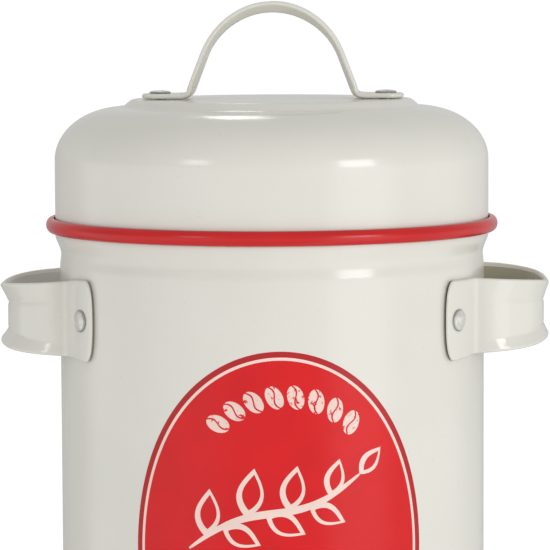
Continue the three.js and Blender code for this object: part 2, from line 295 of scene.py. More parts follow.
def strap(name, route, place, width, lip, lip_width, end_round, material, dark=None):
    """A sheet strap along a route, with rounded ends, rounded edges and turned-out lips.
    place(point, across) puts a point of the route's plane into space. width(d) and lip(d)
    are read at a distance d along the route; lip_width has one value for each edge, and a
    soft line runs along the crease where each lip starts. dark is (side, start): that side
    gets material 1, a painted shade, from the distance start on, except for a band along its
    edges, and material 2, a painted shadow, round its cut ends."""
    half_sheet = STRAP_SHEET / 2
    stations = spaced(route.length, STRAP_STEP, half_sheet)
    shares = [2 * d / TAB_WIDTH - 1 for d in spaced(TAB_WIDTH, STRAP_STEP, half_sheet)]

    def centre(station, share):
        from_end = min(station, route.length - station)
        towards = 1 if station < route.length / 2 else -1
        corner = end_round
        if abs(share) < 1:
            corner *= 1 - (1 - abs(share) ** CORNER_POWER) ** (1 / CORNER_POWER)
        fade = max(0.0, 1 - from_end / (3 * end_round))
        distance = station + towards * corner * fade
        half = width(distance) / 2
        across = share * half
        turned_out = lip_width[1 if share > 0 else -1]
        reach = (abs(across) - half) / turned_out + 1
        point, right = route.frame(distance)
        line = LIP_LINE * min(lip(distance) / LID_LIP_HEIGHT, 1)
        line *= math.exp(-((reach / LIP_LINE_SHARE) ** 2))
        point = point + right * (lip(distance) * crease(reach) - line)
        return place(point, across)

    def thickness(distance, length):
        inset = min(distance, length - distance)
        if inset >= half_sheet:
            return 1.0
        return math.sqrt(max(0.0, 1 - (1 - inset / half_sheet) ** 2))

    grid = [[centre(s, h) for h in shares] for s in stations]
    rows, columns = len(stations), len(shares)
    outer, inner = [], []
    for i in range(rows):
        for j in range(columns):
            along = grid[min(i + 1, rows - 1)][j] - grid[max(i - 1, 0)][j]
            across = grid[i][min(j + 1, columns - 1)] - grid[i][max(j - 1, 0)]
            normal = along.cross(across).normalized()
            edge = thickness((shares[j] + 1) * TAB_WIDTH / 2, TAB_WIDTH)
            depth = half_sheet * edge * thickness(stations[i], route.length)
            outer.append(grid[i][j] + normal * depth)
            inner.append(grid[i][j] - normal * depth)
    faces, marks = [], []
    offset = rows * columns
    for i in range(rows - 1):
        for j in range(columns - 1):
            a, b = i * columns + j, i * columns + j + 1
            c, d = b + columns, a + columns
            faces.append((a, b, c, d))
            faces.append((offset + d, offset + c, offset + b, offset + a))
            # Painted shade on the loop's inner face, except a band along its edges, and a painted
            # shadow round the tab's cut ends
            in_band = (1 - abs(shares[j] + shares[j + 1]) / 2) * TAB_WIDTH / 2 < INNER_BAND
            at_end = min(stations[i + 1], route.length - stations[i]) < END_SHADOW_REACH
            for side in (1, -1):
                mark = 0
                if dark and dark[0] == side:
                    on_loop = dark[1] < stations[i] < route.length - dark[1]
                    mark = 2 if at_end else int(on_loop and not in_band)
                marks.append(mark)
    return new_object(name, outer + inner, faces, material, sharp=60, marks=marks)


# ---------------------------------------------------------------- materials


def node_material(name):
    material = bpy.data.materials.new(name)
    material.use_nodes = True
    tree = material.node_tree
    shader = tree.nodes["Principled BSDF"]
    coords = tree.nodes.new("ShaderNodeTexCoord")
    return material, tree, shader, coords.outputs["Object"]


def noise(tree, coords, size, detail=2.0, rough=0.5):
    """Noise whose features are about size across, in metres."""
    node = tree.nodes.new("ShaderNodeTexNoise")
    node.inputs["Scale"].default_value = 1 / size
    node.inputs["Detail"].default_value = detail
    node.inputs["Roughness"].default_value = rough
    tree.links.new(coords, node.inputs["Vector"])
    return node.outputs["Fac"]


def ranged(tree, value, low, high, to_low, to_high):
    node = tree.nodes.new("ShaderNodeMapRange")
    for key, number in zip(("From Min", "From Max", "To Min", "To Max"), (low, high, to_low, to_high)):
        node.inputs[key].default_value = number
    tree.links.new(value, node.inputs["Value"])
    return node.outputs["Result"]


def mixed(tree, factor, first, second):
    """Colour between two, each an RGB tuple or another node's output."""
    node = tree.nodes.new("ShaderNodeMix")
    node.data_type = "RGBA"
    for socket, value in (("A", first), ("B", second)):
        target = next(s for s in node.inputs if s.name == socket and s.type == "RGBA")
        if isinstance(value, tuple):
            target.default_value = (*value, 1)
        else:
            tree.links.new(value, target)
    tree.links.new(factor, node.inputs["Factor"])
    return next(s for s in node.outputs if s.type == "RGBA")


def bump(tree, shader, layers):
    """Adds bumps, each (height output, distance in metres, strength)."""
    normal = None
    for height, distance, strength in layers:
        node = tree.nodes.new("ShaderNodeBump")
        node.inputs["Distance"].default_value = distance
        node.inputs["Strength"].default_value = strength
        tree.links.new(height, node.inputs["Height"])
        if normal:
            tree.links.new(normal, node.inputs["Normal"])
        normal = node.outputs["Normal"]
    tree.links.new(normal, shader.inputs["Normal"])


def enamel(name, colour, shade, roughness=0.16, specks=0.5, shine=0.5):
    """Glossy enamel: slow colour drift, faint specks and an orange-peel skin."""
    material, tree, shader, coords = node_material(name)
    shader.inputs["Specular IOR Level"].default_value = shine
    drift = ranged(tree, noise(tree, coords, 26 * MM), 0.35, 0.65, 0, 1)
    base = mixed(tree, drift, colour, shade)
    speck = ranged(tree, noise(tree, coords, 0.9 * MM, 1.0), 0.70, 0.78, 0, specks)
    fleck = tuple(0.72 * c for c in shade)
    tree.links.new(mixed(tree, speck, base, fleck), shader.inputs["Base Color"])
    gloss = ranged(tree, noise(tree, coords, 7 * MM), 0.3, 0.7, roughness - 0.03, roughness + 0.04)
    tree.links.new(gloss, shader.inputs["Roughness"])
    peel = noise(tree, coords, 2.6 * MM, 1.0, 0.4)
    ripple = noise(tree, coords, 11 * MM, 1.0, 0.3)
    bump(tree, shader, [(peel, 0.012 * MM, 0.5), (ripple, 0.05 * MM, 0.5)])
    return material


def print_ink(name, colour, worn=None, wear=0.0, roughness=0.22, shine=0.4):
    """Screen-printed ink. Where it's worn, the colour below shows; wear is a small share."""
    material, tree, shader, coords = node_material(name)
    shader.inputs["Specular IOR Level"].default_value = shine
    drift = ranged(tree, noise(tree, coords, 14 * MM), 0.35, 0.65, 0, 1)
    base = mixed(tree, drift, colour, tuple(0.93 * c for c in colour))
    if wear:
        coarse = noise(tree, coords, 1.6 * MM, 4.0, 0.7)
        base = mixed(tree, ranged(tree, coarse, 0.60 - wear, 0.64 - wear, 0, 1), base, worn)
    tree.links.new(base, shader.inputs["Base Color"])
    gloss = ranged(tree, noise(tree, coords, 5 * MM), 0.3, 0.7, roughness - 0.03, roughness + 0.04)
    tree.links.new(gloss, shader.inputs["Roughness"])
    bump(tree, shader, [(noise(tree, coords, 2.6 * MM, 1.0, 0.4), 0.012 * MM, 0.5)])
    return material


def rivet_metal(name, bright, dull, metallic):
    """Nickel-plated steel with fine tool marks and dull patches."""
    material, tree, shader, coords = node_material(name)
    patches = ranged(tree, noise(tree, coords, 1.5 * MM, 3.0), 0.35, 0.65, 0, 1)
    tree.links.new(mixed(tree, patches, bright, dull), shader.inputs["Base Color"])
    shader.inputs["Metallic"].default_value = metallic
    tree.links.new(ranged(tree, patches, 0, 1, 0.18, 0.34), shader.inputs["Roughness"])
    bump(tree, shader, [(noise(tree, coords, 0.35 * MM, 3.0), 0.02 * MM, 0.4)])
    return material


CREAM = enamel("cream_enamel", (0.745, 0.732, 0.664), (0.726, 0.714, 0.646), specks=0.2)
HANDLE_CREAM = enamel(
    "cream_enamel_handles", (0.740, 0.728, 0.660), (0.716, 0.704, 0.634), roughness=0.11, specks=0.2
)
# Painted shade: darker, duller cream on the inner faces of the side handles' loops, where the wall and
# the strap shade them; then a painted shadow round the cut ends of their tabs
INNER_SHADE_CREAM = {
    "right": enamel(
        "cream_enamel_inner_shade_right", (0.430, 0.420, 0.320), (0.360, 0.345, 0.250), roughness=0.3, specks=0.3
    ),
    "left": enamel(
        "cream_enamel_inner_shade_left", (0.600, 0.605, 0.580), (0.560, 0.565, 0.540), roughness=0.25, specks=0.2
    ),
}
# Painted shadow: near-black round each tab's cut end for the shaded gap where it stands off the wall,
# lighter on the left
END_SHADOW = {
    "right": enamel(
        "cream_enamel_end_shadow_right", (0.100, 0.095, 0.080), (0.060, 0.056, 0.048), roughness=0.4, shine=0.2
    ),
    "left": enamel(
        "cream_enamel_end_shadow_left", (0.330, 0.320, 0.285), (0.260, 0.250, 0.220), roughness=0.4, shine=0.2
    ),
}
RED = enamel(
    "red_enamel", (0.600, 0.014, 0.015), (0.560, 0.011, 0.012), roughness=0.22, specks=0.2, shine=0.32
)
RED_INK = print_ink("red_print", (0.700, 0.008, 0.011), shine=0.25)
EDGE_INK = print_ink("red_print_edge", (0.480, 0.016, 0.020), shine=0.25)
CREAM_INK = print_ink("cream_print", (0.920, 0.710, 0.630))
WORN_INK = print_ink("cream_print_worn", (0.880, 0.660, 0.590), (0.700, 0.010, 0.014), 0.025)
NICKEL = rivet_metal("rivet_metal", (0.80, 0.80, 0.75), (0.60, 0.60, 0.55), metallic=0.5)
# Painted shade: a darker metal on each rivet head's brim for the shadow in the gap under it
BRIM_SHADE = rivet_metal("rivet_metal_brim_shade", (0.42, 0.42, 0.38), (0.32, 0.32, 0.29), metallic=0.3)


# ---------------------------------------------------------------- body


def wall_outline(inset):
    """Outside of the wall from the flange to the neck, moved in by inset."""
    groove = SEAT_HEIGHT - BEAD_RAMP
    plain = groove - 1.6 * GROOVE_SLOPE
    radius = WALL_RADIUS - inset
    steps = 60
    points = [(radius, FLANGE_TOP + (plain - FLANGE_TOP) * i / steps) for i in range(steps)]
    bead_steps = 28
    for i in range(bead_steps):
        height = plain + (SEAT_HEIGHT - plain) * i / bead_steps
        below = smoothstep(height, plain, groove)
        rise = smoothstep(height, groove, SEAT_HEIGHT)
        points.append((radius - GROOVE_DEPTH * below + (BEAD_DEPTH + GROOVE_DEPTH) * rise, height))
    points += arc((radius, SEAT_HEIGHT), BEAD_DEPTH, BEAD_CROWN, 0, 90, 8)
    return points


def seam_relief(angle, radius, height):
    """Folded side seam at the back: a flat band on the outside with one sharp edge, and
    the fold's thickness on the inside."""
    across = (angle - math.pi) * WALL_RADIUS
    top = SEAT_HEIGHT - BEAD_RAMP - 2 * GROOVE_SLOPE
    if radius < WALL_RADIUS - 0.8 * SHEET:
        flat = 1 - smoothstep(abs(across), SEAM_INNER_HALF - SEAM_INNER_EDGE, SEAM_INNER_HALF)
        foot = smoothstep(height, SEAM_FOOT, SEAM_FOOT + 0.8 * SEAM_FADE)
        head = 1 - smoothstep(height, top - SEAM_FADE, top)
        return -SEAM_INNER_PROUD * flat * foot * head
    if radius < WALL_RADIUS - 0.2 * SHEET or height > top:
        return 0
    side = smoothstep(across, -SEAM_HALF, -SEAM_HALF + SEAM_EDGE) * (across < SEAM_HALF)
    line = math.exp(-(((across - SEAM_HALF) / SEAM_LINE_WIDTH) ** 2))
    return SEAM_PROUD * side - SEAM_LINE_DEPTH * line


def body_wall():
    flange_radius = SEAM_RADIUS - SHEET - GAP
    curl_centre = (WALL_RADIUS - MOUTH_CURL, MOUTH_HEIGHT - MOUTH_CURL)
    curl_inner = MOUTH_CURL - SHEET
    profile = [
        (INNER_RADIUS, wall_low.z),
        (flange_radius, wall_low.z),
        (flange_radius, FLANGE_TOP),
        *wall_outline(0),
        *arc(curl_centre, MOUTH_CURL, MOUTH_CURL, 0, 220, 24),
        *arc(curl_centre, curl_inner, curl_inner, 220, 0, 20),
        *reversed(wall_outline(SHEET)),
    ]
    wall = turned("tin_wall", profile, CREAM, steps=WALL_STEPS, relief=seam_relief)
    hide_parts("body_wall")
    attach(wall, "body")


def base_panel():
    """Pressed base with a stiffening ring, its edge hooked round the wall's flange."""
    chuck = INNER_RADIUS - GAP
    bend = SEAM_BEND
    inner_bend = bend - SHEET
    seam_centre = SEAM_RADIUS - bend
    hook_end = WALL_RADIUS + GAP
    hook_low = SEAM_HEIGHT - SHEET
    low, high = FLOOR_RING

    def ring(height):
        steps = 8
        rise = [FLOOR_RING_HEIGHT * smoothstep(i / steps, 0, 1) for i in range(steps + 1)]
        slope = [FLOOR_RING_SLOPE * i / steps for i in range(steps + 1)]
        inward = [(low + x, height + z) for x, z in zip(slope, rise)]
        outward = [(high - x, height + z) for x, z in zip(slope, rise)]
        return inward + outward[::-1]

    profile = [
        (0, FLOOR_HEIGHT),
        (low / 2, FLOOR_HEIGHT),
        *ring(FLOOR_HEIGHT),
        *arc((chuck - bend, FLOOR_HEIGHT - bend), bend, bend, 90, 0, 8),
        (chuck, SHEET + 0.1 * MM),
        (chuck + 0.1 * MM, SHEET),
        *arc((seam_centre, bend), inner_bend, inner_bend, -90, 0, 6),
        *arc((seam_centre, SEAM_HEIGHT - bend), inner_bend, inner_bend, 0, 90, 6),
        (hook_end + 0.6 * HOOK_TIP, hook_low),
        *arc((hook_end + HOOK_TIP, hook_low + HOOK_TIP), HOOK_TIP, HOOK_TIP, 260, 90, 8),
        *arc((seam_centre, SEAM_HEIGHT - bend), bend, bend, 90, 0, 8),
        *arc((seam_centre, bend), bend, bend, 0, -90, 8),
        *arc((chuck - SHEET + bend, bend), bend, bend, 270, 180, 8),
        *arc((chuck - bend, FLOOR_HEIGHT - bend), inner_bend, inner_bend, 0, 90, 6),
        *reversed(ring(FLOOR_HEIGHT - SHEET)),
        (low / 2, FLOOR_HEIGHT - SHEET),
        (0, FLOOR_HEIGHT - SHEET),
    ]
    panel = turned("tin_base", profile, CREAM, closed=False)
    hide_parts("base_panel")
    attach(panel, "body")


# ---------------------------------------------------------------- side handles

BEND_CENTRE = TAB_RADIUS + BEND_RADIUS
BEND_ANGLE = math.acos((GRIP_HALF_WIDTH + BEND_RADIUS) / BEND_CENTRE)
TAB_ANGLE = BEND_ANGLE - TAB_LENGTH / TAB_RADIUS


def handle_route(depth):
    """Plan of the right handle, from its front tab round to its back tab."""
    tab, bend = math.degrees(TAB_ANGLE), math.degrees(BEND_ANGLE)
    bend_x = BEND_CENTRE * math.sin(BEND_ANGLE)
    bend_y = GRIP_HALF_WIDTH + BEND_RADIUS
    reach = WALL_RADIUS + depth - bend_x
    points = [
        *arc((0, 0), TAB_RADIUS, TAB_RADIUS, tab - 90, bend - 90, 40),
        *arc((bend_x, -bend_y), BEND_RADIUS, BEND_RADIUS, bend + 90, 90, 24)[1:],
        *arc((bend_x, 0), reach, GRIP_HALF_WIDTH, -90, 90, 240)[1:],
        *arc((bend_x, bend_y), BEND_RADIUS, BEND_RADIUS, -90, -90 - bend, 24)[1:],
        *arc((0, 0), TAB_RADIUS, TAB_RADIUS, 90 - bend, 90 - tab, 40)[1:],
    ]
    return Route(points)


def side_handle(side, sign):
    route = handle_route(GRIP_DEPTH[side])
    half = route.length / 2
    loop_start = TAB_LENGTH + BEND_RADIUS * BEND_ANGLE

    def lift(y):
        """The hand-bent loop sits a little off the tabs' level, more so towards the back."""
        off_tab = 1 - smoothstep(abs(y), GRIP_HALF_WIDTH - 1 * MM, GRIP_HALF_WIDTH + 6 * MM)
        return (LOOP_LIFT[side] + BACK_LIFT[side] * smoothstep(y, -4 * MM, 12 * MM)) * off_tab

    def place(point, across):
        return Vector((sign * point.x, point.y, HANDLE_HEIGHT + across + lift(point.y)))

    def width(d):
        share = min(d, route.length - d) / half
        return STRAP_WIDTH[side] - (STRAP_WIDTH[side] - LOOP_WIDTH[side]) * share ** TAPER_EASE[side]

    def lip(d):
        end = min(d, route.length - d)
        return LIP_HEIGHT[side] * smoothstep(end, TAB_LENGTH - 1 * MM, loop_start + LIP_RUN)

    name = "side_handle_" + side
    dark = (-sign, loop_start)
    piece = strap(name, route, place, width, lip, LIP_WIDTH, TAB_ROUND, HANDLE_CREAM, dark)
    # Material 1 is the inner face's painted shade, material 2 the painted shadow round the tab ends
    piece.data.materials.append(INNER_SHADE_CREAM[side])
    piece.data.materials.append(END_SHADOW[side])
    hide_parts("handle_" + side)
    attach(piece, "body")


# ---------------------------------------------------------------- lid


def lid_outline(inset):
    """Outside of the lid from its middle to the foot of the skirt, moved in by inset."""
    top = LID_TOP - inset
    reach = SKIRT_OUTER - STEP_RADIUS - inset
    shoulder = arc((STEP_RADIUS, SHOULDER_HEIGHT), reach, SHOULDER_RISE - inset, 90, 0, 40)
    slope = math.atan2(STEP_HEIGHT, STEP_SLOPE)
    slope_start = FLAT_RADIUS - STEP_ROUND
    # The step starts softly on the flat and meets the shoulder in a crisp line
    step = []
    steps = 14
    for i in range(steps):
        share = i / steps
        radius = slope_start + (STEP_RADIUS - slope_start) * share
        step.append((radius, top - STEP_HEIGHT * smoothstep(share, 0.08, 1.0 + 0.1 * slope)))
    flat = [(0, top), (FLAT_RADIUS * 0.35, top), (FLAT_RADIUS * 0.7, top)]
    drop = SHOULDER_HEIGHT - RIM_CENTRE.y
    wall = [(SKIRT_OUTER - inset, SHOULDER_HEIGHT - drop * i / 10) for i in range(1, 10)]
    return flat + step + shoulder + wall


def rolled(inset, start, end, steps):
    """Part of the rolled rim's section, moved in by inset, angles in degrees."""
    return arc(RIM_CENTRE, RIM_REACH / 2 - inset, RIM_HEIGHT / 2 - inset, start, end, steps)


def lid_shell():
    """The lid as one pressing, in two pieces where its enamel changes colour."""
    join = -150
    dome = [
        *lid_outline(0),
        (SKIRT_OUTER, RIM_CENTRE.y),
        *rolled(SHEET, -180, join, 4)[1:],
        *rolled(0, join, -180, 4),
        *reversed(lid_outline(SHEET)),
    ]
    shell = turned("lid_dome", dome, CREAM, closed=False)
    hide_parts("lid_shell")
    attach(shell, "lid")

    lip = 112
    rim_outer = rolled(0, join, lip, 56)
    rim_inner = rolled(SHEET, lip, join, 48)
    rim = turned("lid_rim", [*rim_outer, *rim_inner], RED)
    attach(rim, "lid")


def lid_handle_route():
    """The handle from its right foot over the arch to its left foot, and the distances along
    it to the end of the foot and to the start of the arch."""
    leg_top = Vector((ARCH_RADIUS * math.sin(LEG_TURN), ARCH_CENTRE + ARCH_RADIUS * math.cos(LEG_TURN)))
    drop = leg_top.y - FOOT_HEIGHT - FOOT_BEND * (1 - math.cos(LEG_TURN))
    bend_x = leg_top.x + drop / math.tan(LEG_TURN) + FOOT_BEND * math.sin(LEG_TURN)
    bend_z = FOOT_HEIGHT + FOOT_BEND
    turn = math.degrees(LEG_TURN)
    half = [
        (FOOT_END, FOOT_HEIGHT),
        *arc((bend_x, bend_z), FOOT_BEND, FOOT_BEND, -90, -90 - turn, 24),
        *arc((0, ARCH_CENTRE), ARCH_RADIUS, ARCH_RADIUS, 90 - turn, 90, 120),
    ]
    mirrored = [(-x, z) for x, z in reversed(half[:-1])]
    foot = FOOT_END - bend_x
    return Route(half + mirrored), foot, foot + FOOT_BEND * LEG_TURN + drop / math.sin(LEG_TURN)


def lid_handle():
    route, foot, arch_start = lid_handle_route()
    half = route.length / 2

    def place(point, across):
        return Vector((point.x + LID_HANDLE_SHIFT, -across, point.y))

    def width(d):
        end = min(d, route.length - d)
        return LID_FOOT_WIDTH - (LID_FOOT_WIDTH - LID_STRAP_WIDTH) * smoothstep(end, foot, half)

    def lip(d):
        end = min(d, route.length - d)
        full = LID_LEG_LIP + (LID_LIP_HEIGHT - LID_LEG_LIP) * smoothstep(end, arch_start, half)
        return full * smoothstep(end, foot - FOOT_BEND, foot + 2 * FOOT_BEND)

    edges = {1: LID_LIP_WIDTH, -1: LID_LIP_WIDTH}
    piece = strap("lid_grip", route, place, width, lip, edges, LID_FOOT_ROUND, CREAM)
    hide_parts("lid_handle")
    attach(piece, "lid")


# ---------------------------------------------------------------- rivets


def rivet_mesh(name, node, body, axis, spot):
    """Low-domed rivet with a closed-up tail. Its head points along axis, and spot is where
    its middle line meets the outer face of the strap."""
    under = 0.08 * MM
    tail_top = -STRAP_SHEET - SHEET - 2 * GAP - 0.15 * MM
    half_brim = HEAD_BRIM / 2
    tail_edge = (TAIL_RADIUS - TAIL_ROUND, tail_top - TAIL_ROUND)
    profile = [
        *arc((0, under + HEAD_BRIM), HEAD_RADIUS - 0.05 * MM, HEAD_HEIGHT - HEAD_BRIM, 90, 8, 18),
        *arc((HEAD_RADIUS - half_brim, under + half_brim), half_brim, half_brim, 60, -90, 6),
        (SHANK_RADIUS, under),
        (SHANK_RADIUS, tail_top),
        *arc(tail_edge, TAIL_ROUND, TAIL_ROUND, 90, -60, 6),
        (0.6 * TAIL_RADIUS, tail_top - TAIL_HEIGHT + 0.05 * MM),
        (0, tail_top - TAIL_HEIGHT),
    ]
    piece = turned(name, profile, NICKEL, steps=64, closed=False)
    piece.data.materials.append(BRIM_SHADE)
    # Painted shade on the brim's faces, for the dark shadow line round the head
    for polygon in piece.data.polygons:
        if math.hypot(polygon.center.x, polygon.center.y) > DARK_BRIM_SHARE * HEAD_RADIUS:
            polygon.material_index = 1
    turn = Vector((0, 0, 1)).rotation_difference(axis).to_matrix().to_4x4()
    piece.data.transform(Matrix.Translation(spot) @ turn)
    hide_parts(node)
    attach(piece, body)


def rivets():
    middle = (side_rivet_low + side_rivet_high) / 2
    angle = math.atan2(middle.x, -middle.y)
    corners = {
        "right_front": angle,
        "right_back": math.pi - angle,
        "left_back": math.pi + angle,
        "left_front": -angle,
    }
    for place, turn in corners.items():
        axis = Vector((math.sin(turn), -math.cos(turn), 0))
        spot = axis * (TAB_RADIUS + STRAP_SHEET / 2) + Vector((0, 0, HANDLE_HEIGHT))
        rivet_mesh("side_rivet_" + place, "rivet_" + place, "body", axis, spot)
    for side, sign in (("right", 1), ("left", -1)):
        x = sign * (lid_rivet_low.x + lid_rivet_high.x) / 2 + LID_HANDLE_SHIFT
        spot = Vector((x, 0, FOOT_HEIGHT + STRAP_SHEET / 2))
        rivet_mesh("top_rivet_" + side, "lid_rivet_" + side, "lid", Vector((0, 0, 1)), spot)


# ---------------------------------------------------------------- print


def placed(loop, u, v, tilt):
    """A loop turned by tilt and moved to (u, v)."""
    cos, sin = math.cos(tilt), math.sin(tilt)
    return [(u + x * cos - y * sin, v + x * sin + y * cos) for x, y in loop]


def without_doubles(loop):
    return [p for k, p in enumerate(loop) if k == 0 or math.dist(p, loop[k - 1]) > 1e-3]


def printed(name, loops, lift, material):
    """Flat closed loops, in millimetres on the unrolled wall round the print's middle,
    filled by the even-odd rule and wrapped on the wall as a thin film of ink."""
    curve = bpy.data.curves.new(name, "CURVE")
    curve.dimensions = "2D"
    curve.fill_mode = "BOTH"
    curve.extrude = 0.5
    for loop in loops:
        spline = curve.splines.new("POLY")
        spline.points.add(len(loop) - 1)
        for point, (u, v) in zip(spline.points, loop):
            point.co = (u, v, 0, 1)
        spline.use_cyclic_u = True
    holder = bpy.data.objects.new(name + "_flat", curve)
    bpy.context.scene.collection.objects.link(holder)
    graph = bpy.context.evaluated_depsgraph_get()
    mesh = bpy.data.meshes.new_from_object(holder.evaluated_get(graph))
    bpy.data.objects.remove(holder)
    bm = bmesh.new()
    bm.from_mesh(mesh)
    bmesh.ops.remove_doubles(bm, verts=bm.verts, dist=1e-4)
    low = math.floor(min(v.co.x for v in bm.verts))
    high = math.ceil(max(v.co.x for v in bm.verts))
    for cut in range(low, high):
        geometry = bm.verts[:] + bm.edges[:] + bm.faces[:]
        bmesh.ops.bisect_plane(bm, geom=geometry, plane_co=(cut, 0, 0), plane_no=(1, 0, 0), dist=1e-5)
    radius = WALL_RADIUS / MM
    for vert in bm.verts:
        angle = PRINT_TURN + vert.co.x / radius
        r = WALL_RADIUS + lift * (1 if vert.co.z > 0 else -1)
        height = PRINT_HEIGHT + vert.co.y * MM
        vert.co = (r * math.sin(angle), -r * math.cos(angle), height)
    bmesh.ops.triangulate(bm, faces=[f for f in bm.faces if len(f.verts) > 4])
    bmesh.ops.recalc_face_normals(bm, faces=bm.faces)
    bm.to_mesh(mesh)
    bm.free()
    for polygon in mesh.polygons:
        polygon.use_smooth = True
    mesh.set_sharp_from_angle(angle=math.radians(30))
    mesh.materials.clear()
    mesh.materials.append(material)
    piece = bpy.data.objects.new(name, mesh)
    bpy.context.scene.collection.objects.link(piece)
    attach(piece, "body")


def bean(u, v, length, tilt, plump=0.35):
    """A coffee bean as two halves with an S-shaped slit between them."""
    half_u, half_v = length / 2, length * plump
    half_slit = 0.035 * length
    steps = 20

    def spine(share):
        return 0.10 * length * math.sin(2 * math.pi * share)

    halves = []
    for sign in (1, -1):
        loop = []
        for i in range(steps + 1):
            share = i / steps
            loop.append((half_u * (2 * share - 1), spine(share) + sign * half_slit))
        for i in range(steps + 1):
            angle = math.pi * i / steps
            x = half_u * math.cos(angle)
            y = sign * half_v * math.sin(angle)
            inner = spine((x / half_u + 1) / 2) + sign * half_slit
            loop.append((x, max(y, inner) if sign > 0 else min(y, inner)))
        halves.append(placed(without_doubles(loop), u, v, tilt))
    return halves


def stroke(points, widths):
    """Outline of a line drawn through points, as thick as widths says at each."""
    left, right = [], []
    for i, (x, y) in enumerate(points):
        x0, y0 = points[max(i - 1, 0)]
        x1, y1 = points[min(i + 1, len(points) - 1)]
        length = math.hypot(x1 - x0, y1 - y0)
        nx, ny = -(y1 - y0) / length, (x1 - x0) / length
        left.append((x + nx * widths[i] / 2, y + ny * widths[i] / 2))
        right.append((x - nx * widths[i] / 2, y - ny * widths[i] / 2))
    return left + right[::-1]


def drawn_leaf(u, v, length, tilt):
    """A pointed leaf drawn as a brush line of uneven thickness round an open middle."""
    steps = 24
    half_width = 0.27 * length

    def outline(start, end, half):
        upper = []
        for i in range(steps + 1):
            share = i / steps
            upper.append((start + (end - start) * share, half * math.sin(math.pi * share ** 0.85)))
        return upper + [(x, -y) for x, y in reversed(upper[1:-1])]

    outer = outline(0, length, half_width)
    inner = outline(0.16 * length, 0.88 * length, half_width - BRUSH)
    inner = [(x, y - 0.25) for x, y in inner]
    return [placed(outer, u, v, tilt), placed(inner, u, v, tilt)]


def branch():
    """A coffee branch that rises to the right, as brush lines: its stem, and its leaves."""
    steps = 60

    def stem(share):
        wave = STEM_WAVE * math.sin(2 * math.pi * share)
        return STEM_START[0] + STEM_RUN * share, STEM_START[1] + STEM_RISE * share + wave

    points = [stem(i / steps) for i in range(steps + 1)]
    widths = [0.5 + 1.5 * math.sin(math.pi * i / steps) ** 0.7 for i in range(steps + 1)]
    rise = math.atan2(STEM_RISE, STEM_RUN)
    leaves = []
    for share, length, lean in (
        (0.10, 12.5, 62),
        (0.20, 11.0, -48),
        (0.34, 13.0, 58),
        (0.45, 11.5, -50),
        (0.58, 12.0, 56),
        (0.70, 10.5, -48),
        (0.82, 10.0, 52),
    ):
        leaves += drawn_leaf(*stem(share), length, rise + math.radians(lean))
    leaves += drawn_leaf(*stem(1.0), 9.0, math.radians(48))
    return stroke(points, widths), leaves


def leaf(u, v, length, tilt):
    """A pointed leaf in two halves with the midrib left open."""
    steps = 16
    shares = [i / steps for i in range(steps + 1)]
    halves = []
    for sign in (1, -1):
        loop = []
        for share in shares:
            bulge = 0.19 * length * math.sin(math.pi * share ** 0.85)
            loop.append((length * share, sign * (0.35 + bulge)))
        loop += [(length * (1 - share), sign * 0.22) for share in shares]
        halves.append(placed(without_doubles(loop), u, v, tilt))
    return halves


def bean_arc(middle_u, middle_v, radius, upright):
    """Beans that stand on an arc above its middle, or hang below it."""
    beans = []
    count = 8
    for i in range(count):
        angle = math.radians(-44 + 88 * i / (count - 1))
        u = middle_u + radius * math.sin(angle)
        v = middle_v + upright * radius * math.cos(angle)
        beans += bean(u, v, 6.4, upright * (math.pi / 2 - angle) + math.radians(24), plump=0.33)
    return beans


def print_design():
    """A red oval with a cream line inside its darker edge, two arcs of beans, a branch that
    crosses the middle, and a sprig of leaves under it."""

    def oval(inset):
        half_u = PRINT_HALF_WIDTH / MM - inset
        half_v = PRINT_HALF_HEIGHT / MM - inset
        steps = 240
        turns = [2 * math.pi * i / steps for i in range(steps)]
        return [(half_u * math.cos(turn), half_v * math.sin(turn)) for turn in turns]

    second, third = 2 * PRINT_LIFT, 3 * PRINT_LIFT
    line = [oval(PRINT_INSET - PRINT_LINE / 2), oval(PRINT_INSET + PRINT_LINE / 2)]
    printed("print_edge", [oval(0), oval(PRINT_INSET)], PRINT_LIFT, EDGE_INK)
    printed("print_field", [oval(PRINT_INSET)], PRINT_LIFT, RED_INK)
    printed("print_line", line, second, CREAM_INK)
    printed("print_beans", bean_arc(1.3, 15.5, 25.0, 1), second, WORN_INK)
    printed("print_low_beans", bean_arc(0, -15.5, 25.0, -1), second, WORN_INK)

    stem, leaves = branch()
    printed("print_branch", [stem], second, CREAM_INK)
    printed("print_leaves", leaves, third, CREAM_INK)

    sprig = []
    for sign in (1, -1):
        for step in range(4):
            u = sign * (5.5 + 5.2 * step)
            v = -20 + 0.9 * step
            for lean in (34, -28):
                tilt = math.radians(lean if sign > 0 else 180 - lean)
                sprig += leaf(u, v, 6.6 - 0.6 * step, tilt)
    sprig += bean(0, -20, 7.6, math.radians(90))
    printed("print_sprig", sprig, second, WORN_INK)


# ---------------------------------------------------------------- studio


